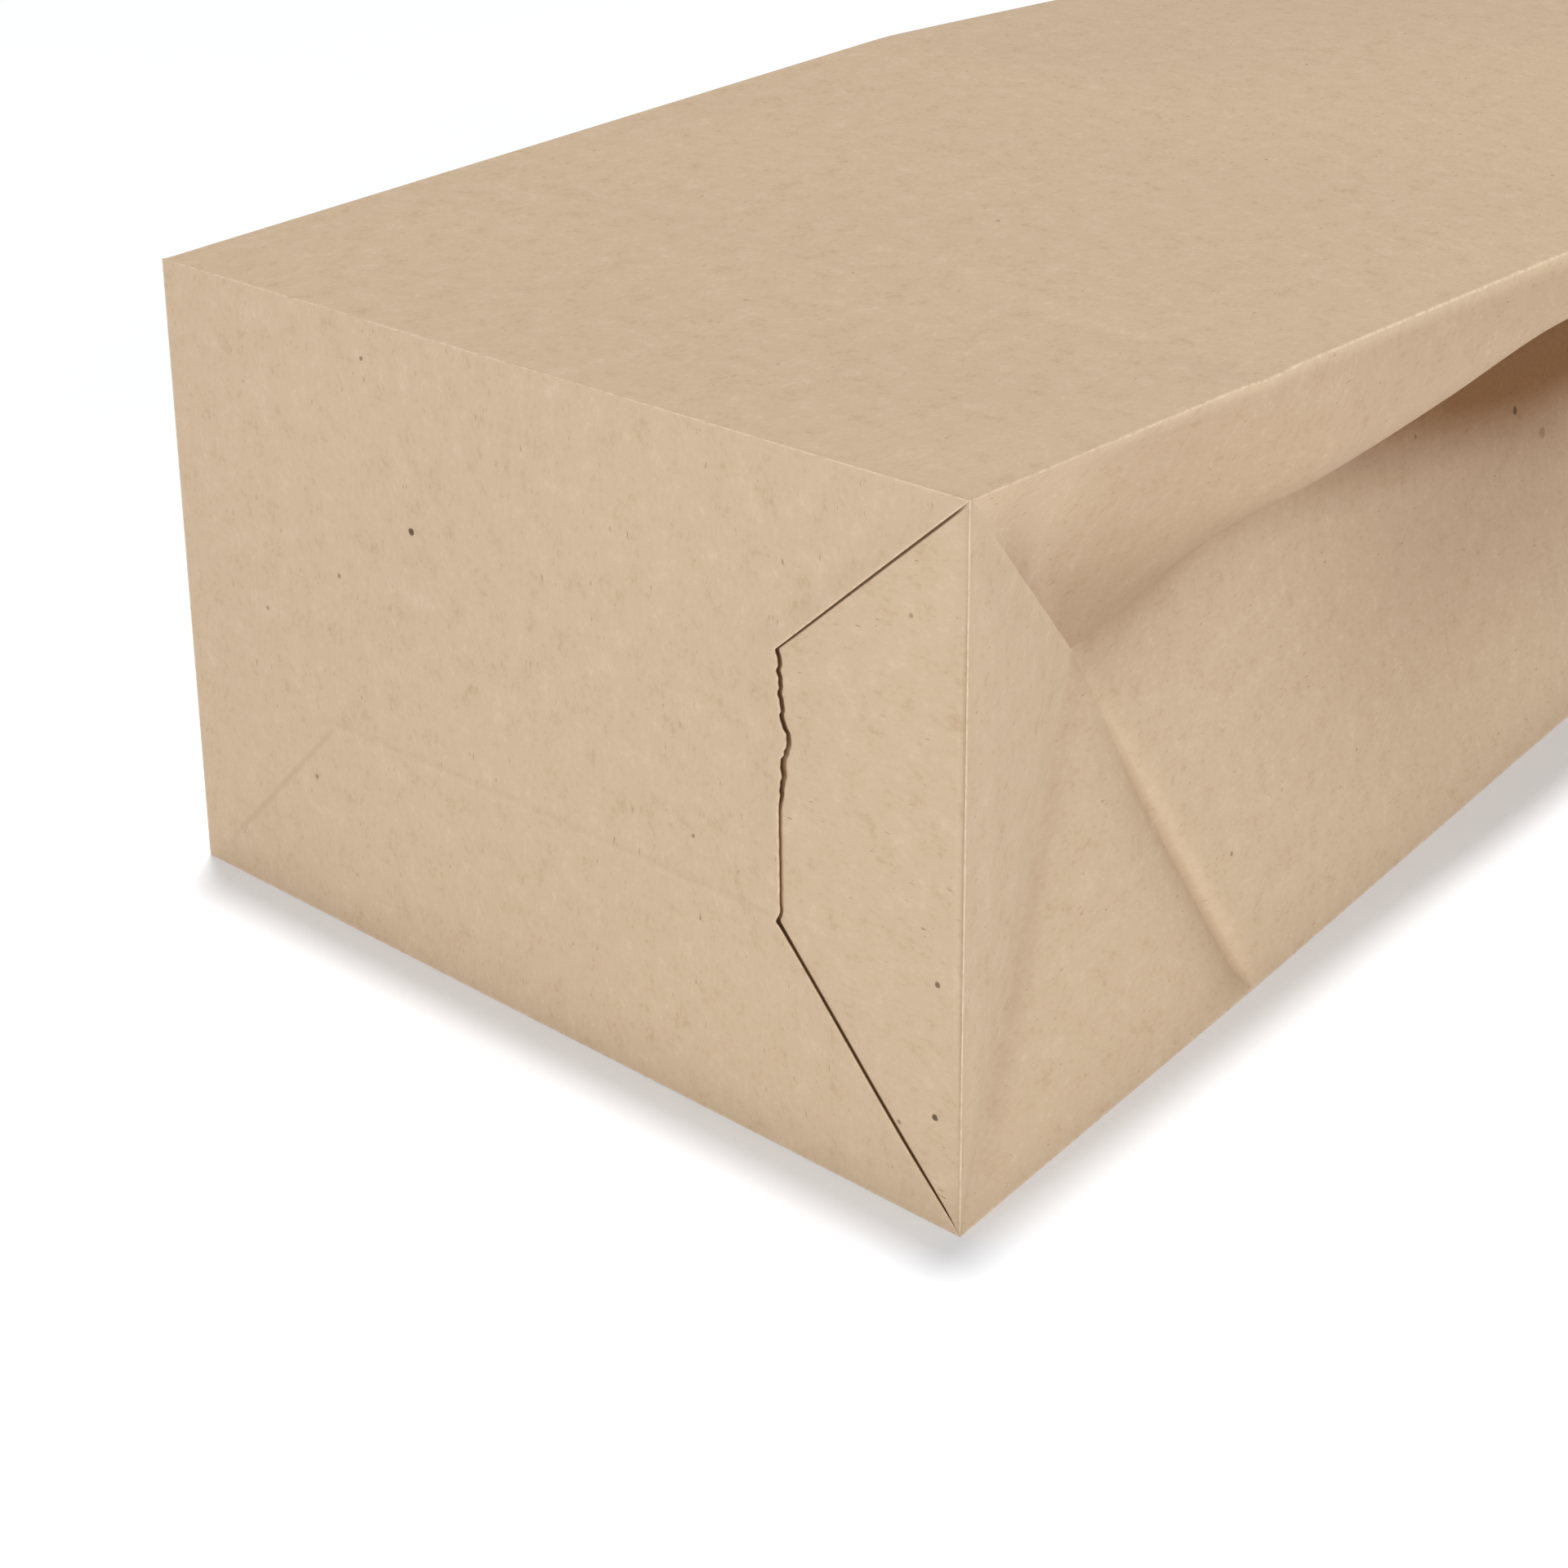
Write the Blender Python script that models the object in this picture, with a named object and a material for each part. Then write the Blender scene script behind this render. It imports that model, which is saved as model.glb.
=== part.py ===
"""Brown paper lunch bag, opened square and lying on one of its wide panels.

The bag is one sheet of kraft paper, folded and glued into a tube with a pleated gusset on each narrow
side and a flat folded bottom. Metres, +Z up. X runs across the bag, +Y from its bottom towards its mouth
and Z up through the depth of its gussets. The origin is under the middle of the bag, on the surface that
it lies on.
"""

import bmesh
import bpy
import numpy as np

# Driving dimensions of the bag
WIDTH = 0.132
DEPTH = 0.088
LENGTH = 0.278
PAPER = 0.0003
HALF = WIDTH / 2

# Folds of the side pleats, as shares of the depth
TUCK_ALONG = 0.452
TUCK_UP = 0.609
TUCK_IN = 0.157
FOLD_BACK = 0.73
MOUTH_HOLLOW_IN = 0.239
MOUTH_HOLLOW_UP = 0.551
HOLLOW_RISE = 0.236
HOLLOW_DEEPER = 0.068
CENTRE_DROP = 0.26

# The rounded shoulder over the hollow: how far its middle stands out and hangs down
SHOULDER_OUT = 0.018
SHOULDER_DROP = 0.015
LEFT_PLEAT = 0.75
LEFT_SHOULDER = 0.25

# How the body settles from its bottom to its mouth
RIGHT_DROP = 0.0125
LEFT_DROP = 0.008
LEFT_DROP_START = 0.54
MOUTH_PINCH = 0.002
FLOOR_PINCH = 0.006
MOUTH_CROWN = 0.0045

# The glued flaps of the folded bottom, as shares of the depth
FLAP_STEP = 0.00025
FLAP_REACH = 0.31
FLAP_TIP_TOP = 0.70
FLAP_TIP_LOW = 0.33
FLAP_MARGIN = 0.0003

# Mesh steps between the folds
FACET_STEPS = 4
SHOULDER_STEPS = 8
PANEL_STEPS = 6
ROWS_TO_TUCK = 6
ROWS_TO_MOUTH = 16

KRAFT_COLOUR = (0.51, 0.38, 0.26, 1.0)
KRAFT_ROUGHNESS = 0.85


def blend(start, end, shares):
    """Points part of the way from start to end, one row for each share."""
    shares = np.asarray(shares)[:, None]
    return np.asarray(start) * (1 - shares) + np.asarray(end) * shares


def fold_lines(side, pleat, roll, drop, drop_start):
    """The fold lines of one side, each as one point a row, from the floor edge up to the top edge.

    side is 1 on the right and -1 on the left, pleat scales how far the pleat is pushed in and roll how
    far its shoulder hangs over it. From the bottom to the tuck's tip the centre and the hollow are the
    slanting folds of the tuck. From there to the mouth the hollow is the deepest line of the pleat, the
    centre is the pressed fold just below it, and the shoulder steers the rounded band under the top edge.
    """
    depth_in = pleat * DEPTH
    to_tuck = np.linspace(0, 1, ROWS_TO_TUCK + 1)
    to_mouth = np.linspace(0, 1, ROWS_TO_MOUTH + 1)[1:]
    arch = np.sin(np.pi * to_mouth)
    floor_corner = (side * HALF, 0, 0)
    top_corner = (side * HALF, 0, DEPTH)
    tip = (side * (HALF - TUCK_IN * depth_in), TUCK_ALONG * DEPTH, TUCK_UP * DEPTH)
    fold_foot = (side * HALF, FOLD_BACK * DEPTH, 0)
    floor_end = (side * HALF, LENGTH, 0)
    hollow_end = (side * (HALF - MOUTH_HOLLOW_IN * depth_in), LENGTH, MOUTH_HOLLOW_UP * DEPTH)

    floor = np.vstack([blend(floor_corner, fold_foot, to_tuck), blend(fold_foot, floor_end, to_mouth)])
    floor[len(to_tuck) :, 0] -= side * pleat * FLOOR_PINCH * np.sin(np.pi / 2 * to_mouth)
    hollow = np.vstack([blend(top_corner, tip, to_tuck), blend(tip, hollow_end, to_mouth)])
    hollow[len(to_tuck) :, 2] += roll * HOLLOW_RISE * DEPTH * arch
    hollow[len(to_tuck) :, 0] -= side * roll * HOLLOW_DEEPER * DEPTH * arch
    tucked = blend(floor_corner, tip, to_tuck)
    below = (CENTRE_DROP * arch)[:, None]
    pressed = hollow[len(to_tuck) :] * (1 - below) + floor[len(to_tuck) :] * below
    centre = np.vstack([tucked, pressed])

    along = hollow[:, 1] / LENGTH
    fall = np.clip(along - drop_start, 0, None) / (1 - drop_start)
    top = np.column_stack(
        [side * (HALF - MOUTH_PINCH * along), LENGTH * along, DEPTH - drop * fall]
    )
    shoulder = (hollow + top) / 2
    shoulder[len(to_tuck) :, 0] += side * roll * SHOULDER_OUT * arch
    shoulder[len(to_tuck) :, 2] -= roll * SHOULDER_DROP * arch
    return floor, centre, hollow, shoulder, top


def between(first, second, steps):
    """Grid columns from one fold line up to, but not including, the next."""
    return [first * (1 - step / steps) + second * step / steps for step in range(steps)]


def rounded(first, steer, second, steps):
    """Grid columns along a parabola steered by a middle line, without the last."""
    shares = [step / steps for step in range(steps)]
    return [first * (1 - t) ** 2 + steer * 2 * t * (1 - t) + second * t**2 for t in shares]


def side_columns(lines):
    """The grid columns of one gusset, from its floor edge to its top edge."""
    floor, centre, hollow, shoulder, top = lines
    lower = between(floor, centre, FACET_STEPS) + between(centre, hollow, FACET_STEPS)
    return lower + rounded(hollow, shoulder, top, SHOULDER_STEPS) + [top]


def body_grid():
    """The bag's outer skin, indexed by row from bottom to mouth and by column round the bag."""
    right = side_columns(fold_lines(1, 1.0, 1.0, RIGHT_DROP, 0.0))
    left = side_columns(fold_lines(-1, LEFT_PLEAT, LEFT_SHOULDER, LEFT_DROP, LEFT_DROP_START))
    panel = between(right[-1], left[-1], PANEL_STEPS)
    for number, column in enumerate(panel):
        across = np.sin(np.pi * number / PANEL_STEPS)
        column[:, 2] += MOUTH_CROWN * across * (column[:, 1] / LENGTH) ** 2
    columns = right[:-1] + panel + left[:0:-1] + between(left[0], right[0], PANEL_STEPS)
    return np.stack(columns, axis=1)


def skin_mesh():
    """The outer skin as one sheet, closed across the bottom and open at the mouth."""
    grid = body_grid()
    grid[:, :, 1] = FLAP_STEP + grid[:, :, 1] * (1 - FLAP_STEP / LENGTH)
    rows, columns = grid.shape[:2]
    index = np.arange(rows * columns).reshape(rows, columns)
    beside = np.roll(index, -1, axis=1)
    quads = np.stack([index[:-1], beside[:-1], beside[1:], index[1:]], axis=-1).reshape(-1, 4)
    faces = quads.tolist() + [index[0, ::-1].tolist()]
    mesh = bpy.data.meshes.new("bag_skin")
    mesh.from_pydata(grid.reshape(-1, 3).tolist(), [], faces)

    work = bmesh.new()
    work.from_mesh(mesh)
    bmesh.ops.remove_doubles(work, verts=work.verts, dist=1e-6)
    bmesh.ops.dissolve_degenerate(work, edges=work.edges, dist=1e-6)
    bmesh.ops.triangulate(work, faces=work.faces)
    bmesh.ops.recalc_face_normals(work, faces=work.faces)
    work.to_mesh(mesh)
    work.free()
    return mesh


def flap_mesh():
    """The large glued flap of the bottom, with the two slanting edges that leave the end flap bare."""
    edge = HALF - FLAP_MARGIN
    reach = HALF - FLAP_REACH * DEPTH
    low, high = FLAP_MARGIN, DEPTH - FLAP_MARGIN
    outline = [
        (-edge, low),
        (edge - FLAP_MARGIN, low),
        (reach, FLAP_TIP_LOW * DEPTH),
        (reach, FLAP_TIP_TOP * DEPTH),
        (edge - FLAP_MARGIN, high),
        (-edge, high),
    ]
    work = bmesh.new()
    corners = [work.verts.new((x, 0, z)) for x, z in outline]
    sheet = work.faces.new(corners)
    wall = bmesh.ops.extrude_face_region(work, geom=[sheet])
    raised = [item for item in wall["geom"] if isinstance(item, bmesh.types.BMVert)]
    bmesh.ops.translate(work, verts=raised, vec=(0, FLAP_STEP + PAPER / 2, 0))
    bmesh.ops.recalc_face_normals(work, faces=work.faces)
    mesh = bpy.data.meshes.new("bottom_flap")
    work.to_mesh(mesh)
    work.free()
    return mesh


def kraft_paper():
    """Plain unbleached kraft paper."""
    material = bpy.data.materials.new("kraft_paper")
    material.use_nodes = True
    shader = material.node_tree.nodes["Principled BSDF"]
    shader.inputs["Base Color"].default_value = KRAFT_COLOUR
    shader.inputs["Roughness"].default_value = KRAFT_ROUGHNESS
    return material


def build():
    """The paper bag, its flap joined to its bottom by a Boolean union."""
    for obj in list(bpy.data.objects):
        bpy.data.objects.remove(obj)
    links = bpy.context.scene.collection.objects.link

    flap = bpy.data.objects.new("bottom_flap_guide", flap_mesh())
    flap.hide_render = True
    flap.display_type = "WIRE"
    links(flap)

    bag = bpy.data.objects.new("paper_bag", skin_mesh())
    bag.data.materials.append(kraft_paper())
    links(bag)
    wall = bag.modifiers.new("paper wall", "SOLIDIFY")
    wall.thickness = PAPER
    wall.offset = -1
    join = bag.modifiers.new("glued flap", "BOOLEAN")
    join.operation = "UNION"
    join.object = flap
    for obj in (bag, flap):
        obj.location = (0, -LENGTH / 2, 0)


build()
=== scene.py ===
"""Looks of the brown paper lunch bag: one folded kraft sheet, its paper, the floor, lights and camera."""

import math

import bmesh
import bpy
import numpy as np
from mathutils import Euler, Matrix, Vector


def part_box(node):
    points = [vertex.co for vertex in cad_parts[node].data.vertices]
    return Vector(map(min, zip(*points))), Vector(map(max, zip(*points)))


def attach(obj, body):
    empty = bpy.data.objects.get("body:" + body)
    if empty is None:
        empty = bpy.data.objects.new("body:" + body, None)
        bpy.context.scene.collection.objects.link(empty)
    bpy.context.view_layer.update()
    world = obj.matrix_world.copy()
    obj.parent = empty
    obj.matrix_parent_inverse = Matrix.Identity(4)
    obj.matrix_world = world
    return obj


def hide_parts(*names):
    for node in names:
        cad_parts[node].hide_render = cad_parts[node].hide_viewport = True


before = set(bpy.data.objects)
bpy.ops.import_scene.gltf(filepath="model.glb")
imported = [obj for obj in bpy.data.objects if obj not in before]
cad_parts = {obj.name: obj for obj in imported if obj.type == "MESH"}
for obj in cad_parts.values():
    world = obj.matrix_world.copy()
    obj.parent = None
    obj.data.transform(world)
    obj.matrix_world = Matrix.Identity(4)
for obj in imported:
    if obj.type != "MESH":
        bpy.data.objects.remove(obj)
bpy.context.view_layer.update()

BAG = "paper_bag"
lowest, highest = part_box(BAG)
HALF = (highest[0] - lowest[0]) / 2
DEPTH = highest[2] - lowest[2]
LENGTH = highest[1] - lowest[1]
FRONT = lowest[1]
MM = 0.001

# The sheet
PAPER = 0.13 * MM
FOLD_SOFTNESS = 0.30

# The folded bottom: how the corners settle and where the flaps end
BOTTOM_LEAN = 1.5 * MM
FLOOR_SPREAD = 0.9 * MM
CORNER_LIFT = 0.6 * MM
FLAP_REACH = 0.297 * DEPTH
FLAP_TIP_TOP = 0.727 * DEPTH
FLAP_TIP_LOW = 0.34 * DEPTH
SLIT = 0.18 * MM
SLIT_DEPTH = 0.5 * MM

# The edge of the flap beneath, pressed through: level, then slanting down to the left corner
PRESSED_LEVEL = 0.345 * DEPTH
PRESSED_KNEE = -36.5 * MM
PRESSED_HEIGHT = 0.17 * MM

# The glued flaps: how far the large one stands off the end flap, how deep that one runs in under it where
# the slits close, how far the slit edge lifts, and how high the slow ripple of the bottom's face is
FLAP_STEP = 0.12 * MM
FLAP_TUCK = 0.35 * MM
EDGE_LIFT = 0.22 * MM
BOTTOM_RIPPLE = 0.22 * MM

# The gusset: how far down the sheet its pressed centre fold lies below the deepest place
CENTRE_DROP = 0.26

# The crease from the tuck's tip to the floor edge, and the softer fold of the tuck before it
CREASE_DEPTH = 1.7 * MM
CREASE_REACH = 0.9 * MM
TUCK_REACH = 4.5 * MM
CREASE_LIP = 0.2 * MM
TIP_DIP = 1.8 * MM
FACET_DISH = 0.7 * MM

# Slow ripples of the paper and the rise of the top panel's middle at the mouth
LOW_RIPPLE = 0.32 * MM
SHOULDER_RIPPLE = 0.3 * MM
TOP_RIPPLE = 0.35 * MM
MOUTH_CROWN = 4.5 * MM

# How much weaker the creases and their shade are on the left, and how thin wear is on the bottom's folds
LEFT_WEIGHT = 0.5
BOTTOM_WEAR_THIN = 2.2

# Where each panel starts across the flat sheet, in metres; the right gusset starts at 0
LEFT_SHEET = 0.4
FLOOR_SHEET = 0.6

# Mesh steps
PANEL_STEPS = 56
LOW_SLIT_STEPS = 26
TORN_STEPS = 76
TOP_SLIT_STEPS = 24
LOW_STEPS = 26
BAND_STEPS = 8
SHOULDER_STEPS = 30
TUCK_ROWS = 30
BODY_ROWS = 84


# ---------------------------------------------------------------- small tools for shapes

def eased(steps):
    """Shares from 0 to 1 that crowd towards both ends, as half a turn of a cosine."""
    return (1 - np.cos(np.pi * np.arange(steps + 1) / steps)) / 2


def eased_start(steps):
    """Shares from 0 to 1 that crowd towards the start only, as a quarter turn blended with even steps."""
    even = np.arange(steps + 1) / steps
    return 0.25 * (1 - np.cos(np.pi * even / 2)) + 0.75 * even ** 1.25


def smooth(low, high, value):
    """0 up to low, 1 from high on and an S-shaped rise between, or a fall where high is below low."""
    share = np.clip((np.asarray(value) - low) / (high - low), 0, 1)
    return share * share * (3 - 2 * share)


def point_mix(start, end, share):
    """Points part of the way from start to end; share gets an axis for the coordinates."""
    share = np.asarray(share)[..., None]
    return np.asarray(start) * (1 - share) + np.asarray(end) * share


def through(knots, places):
    """A smooth curve through a few knots: each coordinate is a Hermite cubic of the first column."""
    knots = np.asarray(knots, dtype=float)
    at, values = knots[:, 0], knots[:, 1:]
    slopes = np.gradient(values, at, axis=0)
    places = np.clip(places, at[0], at[-1])
    cell = np.clip(np.searchsorted(at, places) - 1, 0, len(at) - 2)
    width = (at[cell + 1] - at[cell])[:, None]
    t = ((places - at[cell])[:, None]) / width
    return (
        (2 * t**3 - 3 * t**2 + 1) * values[cell]
        + (t**3 - 2 * t**2 + t) * width * slopes[cell]
        + (3 * t**2 - 2 * t**3) * values[cell + 1]
        + (t**3 - t**2) * width * slopes[cell + 1]
    )


def hump(value, middle, width):
    """1 at the middle, falling off to both sides as e^-((value - middle) / width)^2."""
    return np.exp(-(((value - middle) / width) ** 2))


def arc_lengths(points):
    """Distance along each row of a grid from its first column."""
    steps = np.linalg.norm(np.diff(points, axis=1), axis=2)
    return np.hstack([np.zeros((points.shape[0], 1)), np.cumsum(steps, axis=1)])


def ripple(across, along, seed, size):
    """A slow random swell: twelve sine waves in random directions, each about one size long."""
    draw = np.random.default_rng(seed)
    total = np.zeros(np.broadcast(across, along).shape)
    for _ in range(12):
        angle, phase = draw.uniform(0, 2 * np.pi, 2)
        pitch = 2 * np.pi / (size * draw.uniform(0.7, 1.6))
        total += np.sin(pitch * (across * np.cos(angle) + along * np.sin(angle)) + phase)
    return total / 12 ** 0.5


# ---------------------------------------------------------------- the folds of one side

class Side:
    """The fold lines of one gusset: points for each row, in a frame whose y runs from the bottom.

    Each line is a smooth curve through knots in millimetres: y, then the place x, y, z.
    """

    def __init__(self, side):
        self.side = side
        self.outward = np.array((side, 0, 0.25))
        self.weight = 1.0 if side > 0 else LEFT_WEIGHT
        right = side > 0
        tuck = eased(TUCK_ROWS)
        body = eased_start(BODY_ROWS)[1:]
        self.tip_row = len(tuck) - 1
        tip = np.array((52.0, 40.0, 53.5) if right else (55.0, 42.5, 47.0)) * MM
        foot = np.array((65.0, 64.5, 0.0) if right else (66.0, 63.0, 0.0)) * MM
        low_corner = np.array((HALF + FLOOR_SPREAD, 0, 0))
        top_corner = np.array((HALF, BOTTOM_LEAN, DEPTH + (CORNER_LIFT if right else 0)))
        end = LENGTH / MM
        if right:
            floor_knots = [(64.5, 65, 64.5, 0), (112, 63, 112, 0), (162, 61, 162, 0), (end, 59, end, 0)]
            hollow_knots = [(40, 52, 40, 53.5), (60, 50.5, 60, 55), (74, 49, 74, 59), (88, 47.5, 88, 63.5),
                            (102, 46, 102, 67), (138, 43, 138, 71.5), (175, 41.5, 175, 67.5),
                            (225, 42.5, 225, 56), (end, 45, end, 48.5)]
            shoulder_knots = [(0, 66, 0, 88), (40, 58.5, 40, 69.5), (60, 60.5, 60, 64.5), (80, 65, 80, 58),
                              (105, 69, 105, 58.5), (135, 72, 135, 64), (165, 71.5, 165, 61.5),
                              (225, 62, 225, 62), (end, 56, end, 62.5)]
        else:
            floor_knots = [(63, 66.0, 63, 0), (140, 64.5, 140, 0), (end, 62.0, end, 0)]
            hollow_knots = [(42.5, 55.0, 42.5, 47.0), (80, 55.0, 80, 52.0), (160, 54.0, 160, 53.0),
                            (end, 50.5, end, 50.0)]
            shoulder_knots = [(0, 66.0, 0, 88.0), (42, 60.5, 42, 67.5), (120, 63.5, 120, 67.0),
                              (end, 62.0, end, 63.5)]
        rows_low = foot[1] / MM + body * (end - foot[1] / MM)
        rows_mid = tip[1] / MM + body * (end - tip[1] / MM)
        self.floor = np.vstack([point_mix(low_corner, foot, tuck), through(floor_knots, rows_low) * MM])
        self.high = np.vstack([point_mix(top_corner, tip, tuck), through(hollow_knots, rows_mid) * MM])
        relaxing = 1 - 0.85 * smooth(0.55, 1, body)
        centre_share = 1 - CENTRE_DROP * smooth(0, 0.35, body) * relaxing
        centre = point_mix(self.floor[len(tuck):], self.high[len(tuck):], centre_share)
        self.low = np.vstack([point_mix(low_corner, tip, tuck), centre])
        along = self.high[:, 1] / MM
        self.top = self.top_edge(along, top_corner, right)
        self.control = through(shoulder_knots, along) * MM
        middle = (self.high + self.top) / 2
        settle = smooth(24, 60, along)[:, None]
        self.control = middle * (1 - settle) + self.control * settle
        self.control[:, 1] = middle[:, 1]
        for line in (self.floor, self.low, self.high, self.top, self.control):
            line[:, 0] *= side

    def top_edge(self, along, corner, right):
        """The top fold: a straight fall on the right; on the left level, then a fall past one kink."""
        end = LENGTH / MM
        lead = corner[1] / MM
        share = (along - along[0]) / (end - along[0])
        y = lead + share * (end - lead)
        if right:
            drop = 0.047 * y + 0.35 * smooth(54, 58, y) - 0.35 * smooth(58, 66, y)
            x = HALF / MM - 2.4 * smooth(150, end, y)
        else:
            drop = -2.2 * y / 151 + (2.2 / 151 + 0.040) * np.clip(y - 151, 0, None)
            x = HALF / MM - 2.0 * smooth(140, end, y)
        return np.column_stack([x, y, corner[2] / MM - drop]) * MM


# ---------------------------------------------------------------- patches of the sheet

class Patch:
    """One grid of the sheet: its points and place on the flat sheet, and what its material reads.

    fold is the distance to the nearest worn border, of those picked in fold_sides (left, right, start
    and end), or on the gusset's lower half to the crease's lip, which gets a painted highlight. gap is how
    near a slit it lies, where painted shade darkens it, and shade how much painted shade darkens the paper
    there, both from 0 to 1.
    """

    def __init__(self, points, across, along, flip, fold_sides=(1, 1, 0, 0)):
        self.points = points
        self.sheet = np.stack(np.broadcast_arrays(across, along), axis=-1)
        self.flip = flip
        steps_a = np.linalg.norm(np.diff(points, axis=1), axis=2)
        steps_b = np.linalg.norm(np.diff(points, axis=0), axis=2)
        zero_a = np.zeros((points.shape[0], 1))
        zero_b = np.zeros((1, points.shape[1]))
        from_left = np.hstack([zero_a, np.cumsum(steps_a, axis=1)])
        from_start = np.vstack([zero_b, np.cumsum(steps_b, axis=0)])
        self.left = from_left
        self.right = from_left[:, -1:] - from_left
        sides = (self.left, self.right, from_start, from_start[-1:] - from_start)
        self.fold = np.full(points.shape[:2], 1.0)
        for wanted, distance in zip(fold_sides, sides):
            if wanted:
                self.fold = np.minimum(self.fold, distance)
        self.edge = np.minimum(np.minimum(sides[0], sides[1]), sides[2])
        self.gap = np.zeros(points.shape[:2])
        self.shade = np.zeros(points.shape[:2])


def swell(points, normal, across, along, seed, size, height, fold):
    """Moves a patch along its normal by a slow ripple that fades out towards its folds."""
    fade = smooth(0, 14 * MM, fold)
    return points + normal * (ripple(across, along, seed, size) * height * fade)[..., None]


def hollow_shade(points, deepest):
    """Painted shade in the hollow, from 0 to 1: a wedge under the shoulder that widens towards the mouth.

    Near the bottom it is only a soft band below the deepest line, e^(-drop / 4 mm).
    """
    y, z = points[..., 1] / MM, points[..., 2] / MM
    wedge = 4 + 5 * smooth(75, 125, y) + 11 * smooth(120, 175, y)
    strength = smooth(45, 180, y) * (1 - 0.6 * smooth(190, 275, y))
    # broad: a lighter painted shade over the far part of the lower half, darker higher up
    broad = 0.38 * smooth(60, 145, y) * smooth(0, 42, z)
    drop = deepest[:, None, 2] / MM - z
    # crevice: painted shade in the soft valley below the deepest line, near the tuck
    crevice = 0.42 * np.exp(-drop / 4) * smooth(36, 44, y) * (1 - smooth(80, 115, y))
    return np.clip(strength * smooth(54.5 - wedge, 58.5, z) + broad + crevice, 0, 1)


def gusset_panel(lines, start_across):
    """The gusset's lower half, from the floor edge to its centre fold, with the crease pressed across it.

    The crease is a valley beside the row of the tuck's tip, depth times e^(-distance / reach), with a low
    lip just past it. Before that row it is wide and soft, as the fold of the tuck.
    """
    share = eased(LOW_STEPS)[None]
    low = point_mix(lines.floor[:, None], lines.low[:, None], share)
    across = start_across + arc_lengths(low)
    along = low[..., 1]
    patch = Patch(low, across, along, lines.side < 0, (1, 0, 0, 0))
    points = swell(low, lines.outward, across, along, 11 + lines.side, 55 * MM, LOW_RIPPLE, patch.edge)

    away = np.linalg.norm(low - low[lines.tip_row][None], axis=2)
    row = np.arange(len(low))[:, None]
    past = row > lines.tip_row
    strength = smooth(0.02, 0.45, 1 - share) * smooth(0, 0.06, share)
    valley = CREASE_DEPTH * np.exp(-away / np.where(row < lines.tip_row, TUCK_REACH, CREASE_REACH))
    lip = CREASE_LIP * hump(away, 1.2 * MM, 0.7 * MM) * past
    pressed = (valley - lip) * strength * lines.weight
    patch.points = points - lines.outward * pressed[..., None]

    # Painted highlight: a pale line along the crease's lip, given through the fold attribute
    highlit_lip = np.where(past, np.abs(away - 0.9 * MM) + 0.1 * MM, 1.0)
    patch.fold = np.minimum(patch.fold, np.where(strength > 0.3, highlit_lip, 1.0))
    # Painted shade: a dark band before the crease, and a soft band beside the tuck's valley fold
    in_crease = 0.24 * strength * np.exp(-away / (3.4 * MM)) * (row <= lines.tip_row)
    beside_tuck = 0.12 * hump(patch.right, 2.0 * MM, 2.6 * MM) * (row < lines.tip_row)
    patch.shade = hollow_shade(low, lines.high) + in_crease + beside_tuck * smooth(0, 12 * MM, along)
    return patch


def gusset_band(lines, panel):
    """The narrow band past the tuck, between the centre fold and the deepest line of the hollow."""
    first = lines.tip_row
    band = point_mix(lines.low[first:, None], lines.high[first:, None], eased(BAND_STEPS)[None])
    across = panel.sheet[first:, -1:, 0] + arc_lengths(band)
    patch = Patch(band, across, band[..., 1], lines.side < 0, (0, 0, 0, 0))
    patch.shade = hollow_shade(band, lines.high[first:])
    return patch


def gusset_shoulder(lines, start_across):
    """The rounded band under the top edge: each row is a parabola steered by the control line.

    A shallow dip lies above the tuck's tip. Painted shade darkens it deep inside the hollow, beside the tip
    and, more lightly, over the whole curl.
    """
    share = eased(SHOULDER_STEPS)
    t = share[None, :, None]
    inner, steer, outer = lines.high[:, None], lines.control[:, None], lines.top[:, None]
    high = (1 - t) ** 2 * inner + 2 * t * (1 - t) * steer + t**2 * outer
    across = start_across + DEPTH - arc_lengths(high)[:, ::-1]
    along = high[..., 1]
    patch = Patch(high, across, along, lines.side < 0, (0, 1, 0, 0))
    points = swell(high, lines.outward, across, along, 21 + lines.side, 42 * MM, SHOULDER_RIPPLE, patch.edge)
    dip = np.sin(np.pi * share)[None] * hump(along, 26 * MM, 16 * MM) * TIP_DIP
    patch.points = points - np.array((lines.side, 0, 0)) * dip[..., None]

    # Painted shade: deep under the curl in the hollow, beside the tuck's tip, and lighter over the whole
    # curl, fading towards the mouth
    under = 1 - smooth(0.10, 0.66, share)[None]
    deep = 0.9 * under * smooth(60 * MM, 150 * MM, along)
    beside_tip = 0.36 * np.exp(-patch.left / (9 * MM)) * smooth(2 * MM, 20 * MM, along)
    off_edge = smooth(0, 2.5 * MM, patch.right)
    curl = (0.26 + 0.20 * under) * off_edge * smooth(8 * MM, 40 * MM, along)
    open_end = 1 - 0.6 * smooth(170 * MM, LENGTH, along)
    patch.shade = np.maximum(np.maximum(deep, beside_tip), curl) * open_end
    return patch


def tuck_facet(lines, start_across):
    """The three-cornered facet of the tuck beside the bottom, very slightly dished."""
    last = lines.tip_row + 1
    facet = point_mix(lines.low[:last, None], lines.high[:last, None], flap_heights()[None])
    patch = Patch(facet, start_across + facet[..., 2], facet[..., 1], lines.side < 0, (0, 0, 1, 0))
    patch.fold = patch.fold * BOTTOM_WEAR_THIN
    dish = smooth(0, 10 * MM, patch.edge) * FACET_DISH
    patch.points = facet + np.array((lines.side * 0.8, -0.6, 0)) * dish[..., None]
    return patch


def side_patches(lines, start_across):
    """The gusset: its lower half, the narrow band past its centre fold, its shoulder and its tuck."""
    panel = gusset_panel(lines, start_across)
    band = gusset_band(lines, panel)
    patches = [panel, band, gusset_shoulder(lines, start_across), tuck_facet(lines, start_across)]
    for patch in patches:
        patch.shade = patch.shade * lines.weight
    return patches


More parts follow.
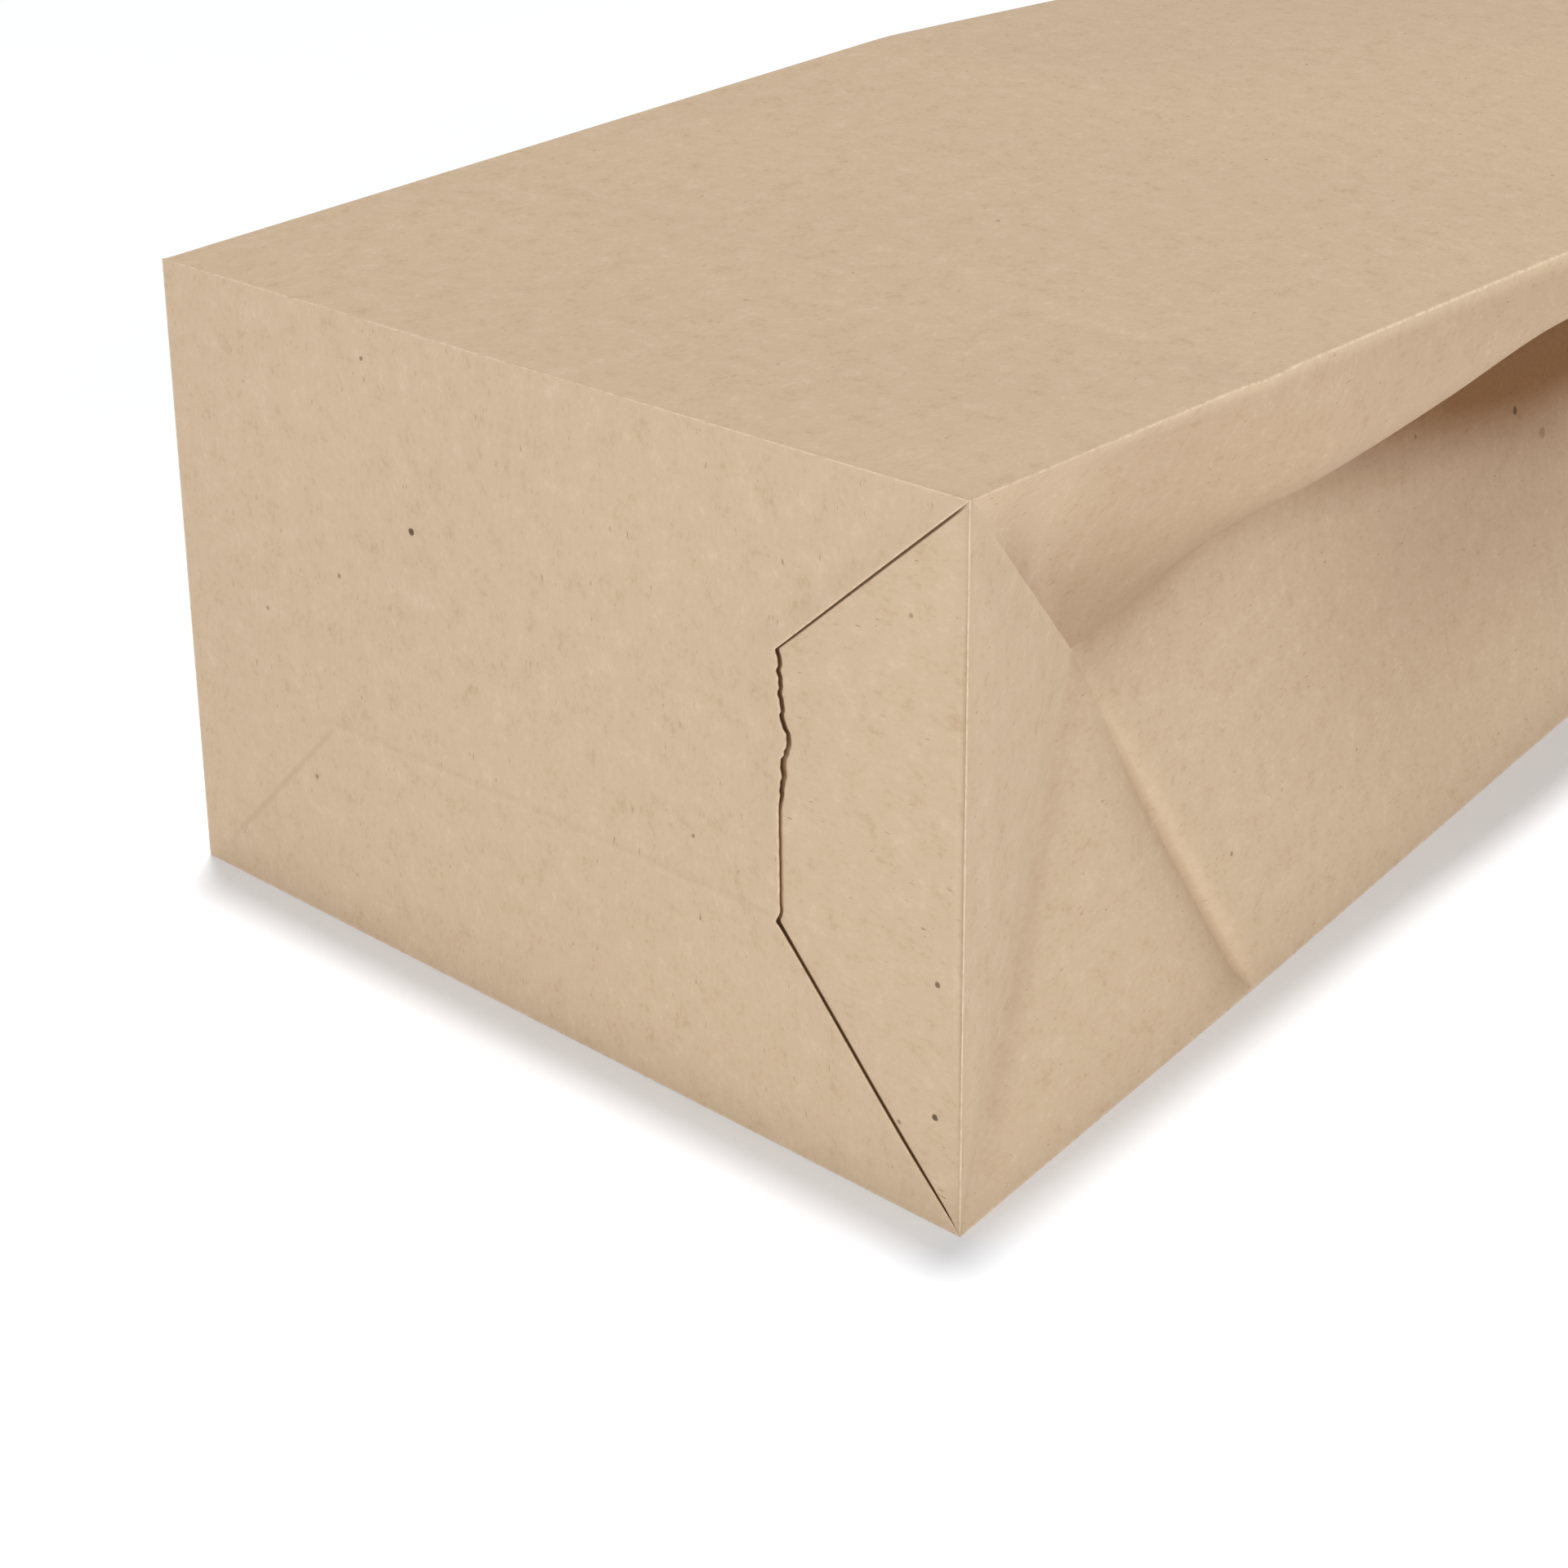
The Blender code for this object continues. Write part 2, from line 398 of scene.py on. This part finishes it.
def panel_patch(first, second, start_across, seed, height, crown):
    """A wide panel between two folds, with a slow ripple and a crown that grows towards the mouth."""
    share = eased(PANEL_STEPS)[None]
    points = point_mix(first[:, None], second[:, None], share)
    across = start_across + arc_lengths(points)
    patch = Patch(points, across, points[..., 1], False, (1, 1, 1, 0))
    up = np.array((0, 0, 1.0))
    patch.points = swell(points, up, across, points[..., 1], seed, 75 * MM, height, patch.edge)
    reach = smooth(120 * MM, LENGTH, points[..., 1])
    patch.points = patch.points + up * (crown * reach * np.sin(np.pi * share))[..., None]
    return patch


def flap_heights():
    """Heights up the bottom, as shares: crowded at the corners, and finest along the torn edge."""
    low, top = FLAP_TIP_LOW / DEPTH, FLAP_TIP_TOP / DEPTH
    lower = low * eased(LOW_SLIT_STEPS)
    even = np.arange(TORN_STEPS + 1) / TORN_STEPS
    torn = low + (top - low) * (0.5 * eased(TORN_STEPS) + 0.5 * even)
    upper = top + (1 - top) * eased(TOP_SLIT_STEPS)
    return np.concatenate([lower, torn[1:], upper[1:]])


def flap_edge(height):
    """Where the large flap of the bottom ends at each height: two slants and a torn edge between.

    The torn edge bulges out past mid height, with one sharper hump, and two sine waves are its teeth.
    """
    reach = HALF - FLAP_REACH
    low_share = np.clip(height / FLAP_TIP_LOW, 0, 1)
    slant_low = HALF + FLOOR_SPREAD * (1 - low_share) - FLAP_REACH * low_share
    top_share = np.clip((DEPTH - height) / (DEPTH - FLAP_TIP_TOP), 0, 1)
    slant_top = HALF - FLAP_REACH * top_share
    straight = np.clip(height, FLAP_TIP_LOW, FLAP_TIP_TOP)
    share = straight / DEPTH
    upper = smooth(0.50, 0.56, share)
    wander = hump(share, 0.605, 0.016) + 0.5 * smooth(0.70, 0.62, share) + 0.35 * upper
    teeth = 0.13 * np.sin(straight / (0.45 * MM)) + 0.10 * np.sin(straight / (0.21 * MM) + 1.3)
    torn = reach + (wander + teeth * (0.15 + 0.85 * upper)) * MM * torn_fade(straight)
    inside = (height > FLAP_TIP_LOW) & (height < FLAP_TIP_TOP)
    return np.where(inside, torn, np.maximum(slant_low, slant_top))


def torn_fade(height):
    """1 along the torn edge and 0 at its two ends."""
    return smooth(FLAP_TIP_LOW, FLAP_TIP_LOW + 1.5 * MM, height) * (
        1 - smooth(FLAP_TIP_TOP - 1.5 * MM, FLAP_TIP_TOP, height)
    )


def bottom_depth(x, z):
    """How far back the bottom's face lies at each place: a slight lean and slow hollows."""
    lean = BOTTOM_LEAN * z / DEPTH
    edge = np.minimum(np.minimum(x + HALF, HALF - x), np.minimum(z, DEPTH - z))
    hollow = ripple(x, z, 5, 60 * MM) * BOTTOM_RIPPLE * smooth(0, 16 * MM, edge)
    return lean + hollow


def large_flap(left_line, right_line, height, end):
    """The large flap of the bottom, from the left fold to its slit edge, which lifts a little."""
    share = eased(PANEL_STEPS)[:, None]
    x = left_line[None, :, 0] * (1 - share) + end[None] * share
    span = right_line[None, :, 0] - left_line[None, :, 0]
    reach = (x - left_line[None, :, 0]) / span
    z = left_line[None, :, 2] * (1 - reach) + right_line[None, :, 2] * reach
    lift = hump(x, end[None], 3.0 * MM) * smooth(0, 9 * MM, height)[None]
    lift = lift * smooth(0, 6 * MM, DEPTH - height)[None]
    y = bottom_depth(x, z) - EDGE_LIFT * lift - emboss(x, z) * PRESSED_HEIGHT
    return Patch(np.stack([x, y, z], axis=-1), x, z - DEPTH, False, (1, 0, 1, 1))


def end_flap(right_line, height, end):
    """The bare end flap, which starts under the large one and dips beside the slit."""
    fine = np.concatenate([[-2.2, -1.2, -0.5, -0.1], np.arange(0, 1.3, 0.1), [1.5, 1.9, 2.5, 3.4]]) * MM
    room = right_line[:, 0] - end
    near = np.minimum(fine[:, None], room[None] * 0.6)
    rest = eased_start(18)[1:, None]
    rest_x = (end + near[-1])[None] * (1 - rest) + right_line[None, :, 0] * rest
    x = np.vstack([end[None] + near, rest_x])
    z = np.broadcast_to(right_line[None, :, 2], x.shape)
    away = x - end[None]
    width = slit_width(height)
    under = 1 - smooth(0.25, 1.0, away / (SLIT * width[None] * 1.9))
    closing = smooth(0, 2.5 * MM, room)[None]
    tucked = np.where(away < 0, FLAP_TUCK, 0) * (1 - closing)
    deep = SLIT_DEPTH * np.clip(width, 0.3, 1) ** 1.5
    y = bottom_depth(x, z) + (FLAP_STEP + deep[None] * under) * closing + tucked
    patch = Patch(np.stack([x, y, z], axis=-1), z, HALF - x - END_FLAP_DOWN, False, (0, 1, 0, 0))
    # Mask for painted shade in the slit, strongest under and at the large flap's edge, gone 0.8 mm past it
    patch.gap = np.clip(1 - away / (0.8 * MM), 0, 1) * closing
    patch.fold = patch.fold * BOTTOM_WEAR_THIN
    return patch


def bottom_patches(left, right):
    """The bottom: the large flap up to its torn edge, and the end flap that runs in under it."""
    left_line = point_mix(left.low[0][None], left.high[0][None], flap_heights())
    right_line = point_mix(right.low[0][None], right.high[0][None], flap_heights())
    height = right_line[:, 2] * DEPTH / right_line[-1, 2]
    end = np.minimum(flap_edge(height), right_line[:, 0])
    flap = large_flap(left_line, right_line, height, end)
    # Painted shade on the large flap's cut rim along the slit
    flap.gap[-1] = 0.75 * smooth(0, 2.5 * MM, right_line[:, 0] - end)
    return flap, end_flap(right_line, height, end)


def slit_width(height):
    """How wide the dark gap is up the flap's edge: thin low down, widest along the tear."""
    share = height / DEPTH
    closed = smooth(FLAP_TIP_LOW / DEPTH, 0.37, share) * (1 - smooth(0.50, 0.53, share))
    open_tear = hump(share, 0.565, 0.035) + 0.25 * smooth(0.55, 0.6, share)
    slants = 0.35 * smooth(0.727, 0.77, share) - 0.35 * (1 - smooth(0.30, 0.34, share))
    return 1 + slants - 0.72 * closed + open_tear * (1 - smooth(0.70, 0.727, share))


def emboss(x, z):
    """The level edge of the flap beneath, pressed through: a low ridge right of the knee."""
    return hump(z, PRESSED_LEVEL, 0.55 * MM) * smooth(PRESSED_KNEE - MM, PRESSED_KNEE + MM, x)


def add_grid(work, patch, uv_layer, layers):
    """Adds a patch's grid to the mesh in hand, with its place on the flat sheet on every corner."""
    rows, columns = patch.points.shape[:2]
    verts = [work.verts.new(point) for point in patch.points.reshape(-1, 3).tolist()]
    for name, layer in layers.items():
        for vert, value in zip(verts, getattr(patch, name).reshape(-1).tolist()):
            vert[layer] = value
    index = np.arange(rows * columns).reshape(rows, columns)
    corners = [index[:-1, :-1], index[:-1, 1:], index[1:, 1:], index[1:, :-1]]
    if patch.flip:
        corners.reverse()
    quads = np.stack(corners, axis=-1).reshape(-1, 4)
    flat = patch.sheet.reshape(-1, 2)
    for quad in quads.tolist():
        face = work.faces.new([verts[i] for i in quad])
        for loop, i in zip(face.loops, quad):
            loop[uv_layer].uv = flat[i]


def build_bag():
    """The whole sheet as one mesh: patches merged at their folds, folds softened, paper given its wall."""
    right, left = Side(1), Side(-1)
    top = panel_patch(right.top, left.top, DEPTH, 3, TOP_RIPPLE, MOUTH_CROWN)
    floor = panel_patch(left.floor, right.floor, FLOOR_SHEET, 4, 0.0, 0.0)
    patches = [*side_patches(right, 0.0), *side_patches(left, LEFT_SHEET), top, floor]
    patches.extend(bottom_patches(left, right))

    mesh = bpy.data.meshes.new("kraft_bag")
    work = bmesh.new()
    uv_layer = work.loops.layers.uv.new("sheet")
    layers = {name: work.verts.layers.float.new(name) for name in ("fold", "gap", "shade")}
    for patch in patches:
        add_grid(work, patch, uv_layer, layers)
    bmesh.ops.remove_doubles(work, verts=work.verts, dist=0.004 * MM)
    bmesh.ops.dissolve_degenerate(work, edges=work.edges, dist=0.002 * MM)
    bmesh.ops.recalc_face_normals(work, faces=work.faces)
    free = [v for v in work.verts if not v.is_boundary]
    for _ in range(2):
        bmesh.ops.smooth_vert(
            work, verts=free, factor=FOLD_SOFTNESS, use_axis_x=True, use_axis_y=True, use_axis_z=True
        )
    bmesh.ops.translate(work, verts=work.verts, vec=(0, FRONT, 0))
    work.to_mesh(mesh)
    work.free()
    mesh.shade_smooth()
    bag = bpy.data.objects.new("kraft_bag", mesh)
    bpy.context.scene.collection.objects.link(bag)
    wall = bag.modifiers.new("paper", "SOLIDIFY")
    wall.thickness = PAPER
    wall.offset = -1
    wall.use_rim = True
    return bag


# ---------------------------------------------------------------- shader maths

class Socket:
    """A shader socket that takes part in Python sums; each operation adds a Math node."""

    def __init__(self, shader, link):
        self.shader = shader
        self.link = link

    def _math(self, operation, other=None, swap=False):
        first, second = (other, self) if swap else (self, other)
        values = {0: first} if other is None else {0: first, 1: second}
        return self.shader.node("ShaderNodeMath", {"operation": operation}, values)

    def __add__(self, other):
        return self._math("ADD", other)

    def __sub__(self, other):
        return self._math("SUBTRACT", other)

    def __mul__(self, other):
        return self._math("MULTIPLY", other)

    def __truediv__(self, other):
        return self._math("DIVIDE", other)

    def __rsub__(self, other):
        return self._math("SUBTRACT", other, swap=True)

    def __rtruediv__(self, other):
        return self._math("DIVIDE", other, swap=True)

    def __pow__(self, other):
        return self._math("POWER", other)

    __radd__ = __add__
    __rmul__ = __mul__

    def least(self, other):
        return self._math("MINIMUM", other)

    def most(self, other):
        return self._math("MAXIMUM", other)

    def ramp(self, low, high):
        """0 at low, 1 at high, an S-shaped rise between."""
        settings = {"interpolation_type": "SMOOTHSTEP"}
        values = {"Value": self, "From Min": low, "From Max": high}
        return self.shader.node("ShaderNodeMapRange", settings, values)


class Shader:
    """A material's node tree."""

    def __init__(self, name):
        self.material = bpy.data.materials.new(name)
        self.material.use_nodes = True
        self.tree = self.material.node_tree
        self.surface = self.tree.nodes["Principled BSDF"]

    def node(self, kind, settings=None, values=None, out=0):
        """Adds a node: its settings first, then its sockets' values or links. Gives one output."""
        made = self.tree.nodes.new(kind)
        for name, value in (settings or {}).items():
            setattr(made, name, value)
        for name, value in (values or {}).items():
            self.put(made.inputs[name], value)
        return Socket(self, made.outputs[out])

    def put(self, socket, value):
        """Links a socket or sets its value."""
        if isinstance(value, Socket):
            self.tree.links.new(value.link, socket)
        else:
            socket.default_value = value

    def mix(self, share, first, second, how="MIX"):
        """Two colours mixed by a share."""
        settings = {"data_type": "RGBA", "blend_type": how}
        made = self.tree.nodes.new("ShaderNodeMix")
        for name, value in settings.items():
            setattr(made, name, value)
        self.put(made.inputs[0], share)
        self.put(made.inputs[6], first)
        self.put(made.inputs[7], second)
        return Socket(self, made.outputs[2])

    def noise(self, place, scale, detail=2.0, rough=0.5, stretch=(1, 1, 1), shift=(0, 0, 0)):
        """Fractal noise, with the place stretched and shifted first."""
        mapping = {"Vector": place, "Scale": stretch, "Location": shift}
        values = {"Scale": scale, "Detail": detail, "Roughness": rough}
        values["Vector"] = self.node("ShaderNodeMapping", {}, mapping)
        return self.node("ShaderNodeTexNoise", {}, values)

    def attribute(self, name):
        """A number stored on the mesh's vertices."""
        return self.node("ShaderNodeAttribute", {"attribute_name": name}, {}, out=2)


def tint(red, green, blue):
    """A display colour, 0 to 255, as the linear colour that a shader takes."""
    def linear(value):
        share = value / 255
        return share / 12.92 if share <= 0.04045 else ((share + 0.055) / 1.055) ** 2.4
    return (linear(red), linear(green), linear(blue), 1.0)


KRAFT = tint(189, 166, 139)
KRAFT_LIGHT = tint(198, 176, 150)
# Darker paper tone, and the painted shade of the pressed slanting line
KRAFT_DARK_AND_SHADE = tint(178, 153, 124)
FIBRE_DARK = tint(150, 118, 88)
# Pale worn folds, and the painted highlight on the crease's lip
WORN_AND_HIGHLIGHT = tint(232, 211, 186)
SPECK = tint(88, 66, 44)
# The warm dark brown of the painted shade in the slits
SLIT_SHADE = tint(150, 112, 74)
# What painted shade multiplies the paper's colour by, at full strength
SHADE_TINT = (0.34, 0.21, 0.11, 1)

# Specks in the pulp, in millimetres on the flat sheet: place along it, place up it, radius and strength.
# The bottom's sheet lies below the body's, with height 0 at its top edge; the end flap's is further down.
END_FLAP_DOWN = 300 * MM
BOTTOM_TOP = -DEPTH / MM
END_TOP = (HALF - END_FLAP_DOWN) / MM
LARGE_SPECKS = (
    (-20, BOTTOM_TOP + 62, 0.62, 0.95),
    (31, END_TOP - 63, 0.48, 0.8),
    (14, END_TOP - 63, 0.52, 0.95),
    (50, 160, 0.85, 0.75),
    (44, 168, 1.1, 0.35),
    (20, 65, 0.42, 0.55),
)

# Where the small specks are strewn: from and to along the sheet, from and to up it, and how many
STREWN = (
    (-60, 40, BOTTOM_TOP + 6, BOTTOM_TOP + 84, 5),
    (10, 80, END_TOP - 62, END_TOP - 40, 2),
    (10, 84, 20, 260, 4),
    (96, 212, 20, 260, 4),
)


def small_specks(seed=8):
    """Small specks strewn over parts of the sheet, each place and strength an even random draw."""
    draw = np.random.default_rng(seed)
    specks = []
    for left, right, low, high, count in STREWN:
        for _ in range(count):
            across, along = draw.uniform(left, right), draw.uniform(low, high)
            specks.append((across, along, draw.uniform(0.33, 0.42), draw.uniform(0.4, 0.7)))
    return specks


def pressed_slant(s, sheet):
    """The slanting pressed line of the bottom: 1 along it, 0 from 0.8 mm beside it and at its ends."""
    corner = np.array((-HALF, -DEPTH))
    reach = np.array((PRESSED_KNEE + HALF, PRESSED_LEVEL))
    length = float(np.linalg.norm(reach))
    ahead = reach / length
    beside = np.array((-ahead[1], ahead[0]))

    def measured(direction):
        values = {0: sheet, 1: (float(direction[0]), float(direction[1]), 0)}
        dot = s.node("ShaderNodeVectorMath", {"operation": "DOT_PRODUCT"}, values, out=1)
        return dot - float(corner @ direction)

    along, off = measured(ahead), measured(beside)
    ends = along.ramp(5 * MM, 12 * MM) * (1 - along.ramp(length - 3 * MM, length))
    return (1 - off.most(off * -1.0).ramp(0, 0.8 * MM)) * ends


def kraft_paper():
    """Unbleached kraft: cloudy fibre, faint streaks along the sheet, dark fibres and specks.

    Folds are worn paler in a broken line, and the crease's lip gets a painted highlight. Painted shade
    darkens the hollow, creases and slits to a warm dark brown, and the pressed slanting line a little.
    """
    s = Shader("kraft_paper")
    sheet = s.node("ShaderNodeUVMap", {"uv_map": "sheet"})
    cloud = s.noise(sheet, 210, 3.0, 0.6, (1.15, 0.9, 1))
    grain = s.noise(sheet, 1150, 3.0, 0.6, (1.25, 0.7, 1), (3, 1, 0))
    fine = s.noise(sheet, 3400, 2.0, 0.6, (1.2, 0.6, 1), (7, 2, 0))
    streak = s.noise(sheet, 700, 2.0, 0.5, (1.0, 0.06, 1), (5, 9, 0))
    blotch = s.noise(sheet, 420, 2.0, 0.5, (1, 1, 1), (6, 3, 0))
    tone = (cloud - 0.5) * 0.75 + (blotch - 0.5) * 0.5 + (grain - 0.5) * 0.75
    tone = tone + (fine - 0.5) * 0.35 + (streak - 0.5) * 0.16
    light = tone.ramp(0.0, 0.42)
    dark = (tone * -1.0).ramp(0.0, 0.42)
    colour = s.mix(light, KRAFT, KRAFT_LIGHT)
    colour = s.mix(dark, colour, KRAFT_DARK_AND_SHADE)

    fibre_cells = s.noise(sheet, 2600, 1.0, 0.5, (1.0, 0.22, 1), (11, 4, 0))
    fibre_spots = s.noise(sheet, 330, 1.0, 0.5, (1, 1, 1), (2, 8, 0))
    fibres = fibre_cells.ramp(0.68, 0.75) * fibre_spots.ramp(0.50, 0.66)
    colour = s.mix(fibres * 0.75, colour, FIBRE_DARK)

    # Painted shade along the pressed slanting line, together with a dent in the bump below
    line = pressed_slant(s, sheet)
    colour = s.mix(line * 0.55, colour, KRAFT_DARK_AND_SHADE)

    # Folds worn paler in a broken line; along the gusset crease's lip the same pale colour is a painted
    # highlight
    fold = s.attribute("fold")
    broken_line_noise = s.noise(sheet, 900, 2.0, 0.6, (1, 1, 1), (4, 4, 0))
    near_fold = 1 - fold.ramp(0.05 * MM, 0.42 * MM)
    wear_and_highlight = near_fold * broken_line_noise.ramp(0.30, 0.62)
    colour = s.mix(wear_and_highlight * 0.34, colour, WORN_AND_HIGHLIGHT)

    ragged = (grain - 0.5) * 0.9
    for across, along, radius, strength in (*LARGE_SPECKS, *small_specks()):
        speck = (across * MM, along * MM, 0)
        away = s.node("ShaderNodeVectorMath", {"operation": "DISTANCE"}, {0: sheet, 1: speck}, out=1)
        spot = 1 - (away / (radius * MM) + ragged).ramp(0.55, 1.0)
        colour = s.mix(spot * strength, colour, SPECK)

    # Painted shade from the shade attribute: the colour multiplied towards a warm dark brown in the hollow,
    # creases and shoulder
    shade = s.attribute("shade")
    colour = s.mix(shade, colour, s.mix(1.0, colour, SHADE_TINT, "MULTIPLY"))

    gap = s.attribute("gap")
    # Painted shade in the slits and on the flap's rim, a warm dark brown
    colour = s.mix(gap.ramp(0.35, 0.95) * 0.8, colour, SLIT_SHADE)
    s.put(s.surface.inputs["Base Color"], colour)
    s.put(s.surface.inputs["Roughness"], 0.86 - (grain - 0.5) * 0.18)
    s.surface.inputs["Specular IOR Level"].default_value = 0.25
    relief = grain * 0.6 + fine * 0.3 + cloud * 0.5 - line * 1.2
    bump = s.node("ShaderNodeBump", {}, {"Height": relief, "Strength": 0.35, "Distance": 0.00012})
    s.put(s.surface.inputs["Normal"], bump)
    return s.material


# ---------------------------------------------------------------- floor, lights, camera

FLOOR_REACH = 6.0
FLOOR_WHITE = (0.872, 0.895, 0.935, 1)
FLOOR_GLOW = 0.07
WORLD_STRENGTH = 0.35

# Soft boxes: name, place, the point it faces, size and power
SOFT_BOXES = (
    ("front_box", (0.30, -1.40, 0.30), (0, -0.14, 0.04), 0.8, 8.9),
    ("side_box", (1.3, -0.33, 0.36), (0.06, 0, 0.04), 0.7, 8.9),
)

# The overhead lamp leans a little, so that a narrow shadow shows at the bag's foot; degrees
OVERHEAD_ENERGY = 2.05
OVERHEAD_SOFTNESS = 6.0
OVERHEAD_LEAN = (-5.6, -3.8, 0)

# The camera: millimetres of lens and sensor, then its place and how it is turned, in degrees
LENS = 63.22
SENSOR = 36.0
SHIFT_UP = -0.2
CAMERA_PLACE = (0.22102, FRONT - 0.20285, 0.19488)
CAMERA_TURN = 41.353
CAMERA_TILT = 21.878
CAMERA_ROLL = -0.874


def show(obj):
    """Puts an object in the scene."""
    bpy.context.scene.collection.objects.link(obj)
    return obj


def pale_floor():
    """A wide, plain white floor."""
    reach = FLOOR_REACH
    mesh = bpy.data.meshes.new("floor")
    corners = [(-reach, -reach, 0), (reach, -reach, 0), (reach, reach, 0), (-reach, reach, 0)]
    mesh.from_pydata(corners, [], [(0, 1, 2, 3)])
    s = Shader("white_floor")
    s.put(s.surface.inputs["Base Color"], FLOOR_WHITE)
    s.put(s.surface.inputs["Roughness"], 0.9)
    s.put(s.surface.inputs["Emission Color"], (1, 1, 1, 1))
    s.put(s.surface.inputs["Emission Strength"], FLOOR_GLOW)
    mesh.materials.append(s.material)
    show(bpy.data.objects.new("floor", mesh))


def soft_light(name, place, aim, size, power):
    """A large square soft box aimed at a point."""
    data = bpy.data.lights.new(name, "AREA")
    data.shape = "SQUARE"
    data.size = size
    data.energy = power
    light = show(bpy.data.objects.new(name, data))
    light.location = place
    light.rotation_euler = (Vector(aim) - Vector(place)).to_track_quat("-Z", "Y").to_euler()


def overhead_lamp():
    """A broad, even lamp far overhead, which lights the floor alike everywhere."""
    data = bpy.data.lights.new("overhead", "SUN")
    data.energy = OVERHEAD_ENERGY
    data.angle = math.radians(OVERHEAD_SOFTNESS)
    lamp = show(bpy.data.objects.new("overhead", data))
    lamp.rotation_euler = [math.radians(angle) for angle in OVERHEAD_LEAN]


def studio():
    """An even white room: its own glow, two low soft boxes facing the bag, and the overhead lamp."""
    world = bpy.data.worlds.new("studio")
    world.use_nodes = True
    background = world.node_tree.nodes["Background"]
    background.inputs["Color"].default_value = (1, 1, 1, 1)
    background.inputs["Strength"].default_value = WORLD_STRENGTH
    bpy.context.scene.world = world
    for box in SOFT_BOXES:
        soft_light(*box)
    overhead_lamp()


def camera():
    """The camera, ahead of the bottom's right corner and above it."""
    data = bpy.data.cameras.new("camera")
    data.lens = LENS
    data.sensor_width = SENSOR
    data.shift_y = SHIFT_UP
    data.clip_start = 0.01
    seen = show(bpy.data.objects.new("camera", data))
    seen.location = CAMERA_PLACE
    turn, tilt, roll = (math.radians(angle) for angle in (CAMERA_TURN, CAMERA_TILT, CAMERA_ROLL))
    level = Euler((math.pi / 2 - tilt, 0, turn)).to_matrix()
    seen.rotation_euler = (level @ Euler((0, 0, roll)).to_matrix()).to_euler()
    bpy.context.scene.camera = seen


bag = build_bag()
bag.data.materials.append(kraft_paper())
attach(bag, "root")
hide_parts(BAG)
pale_floor()
studio()
camera()
bpy.context.scene.view_settings.view_transform = "Standard"
bpy.context.scene.view_settings.look = "None"
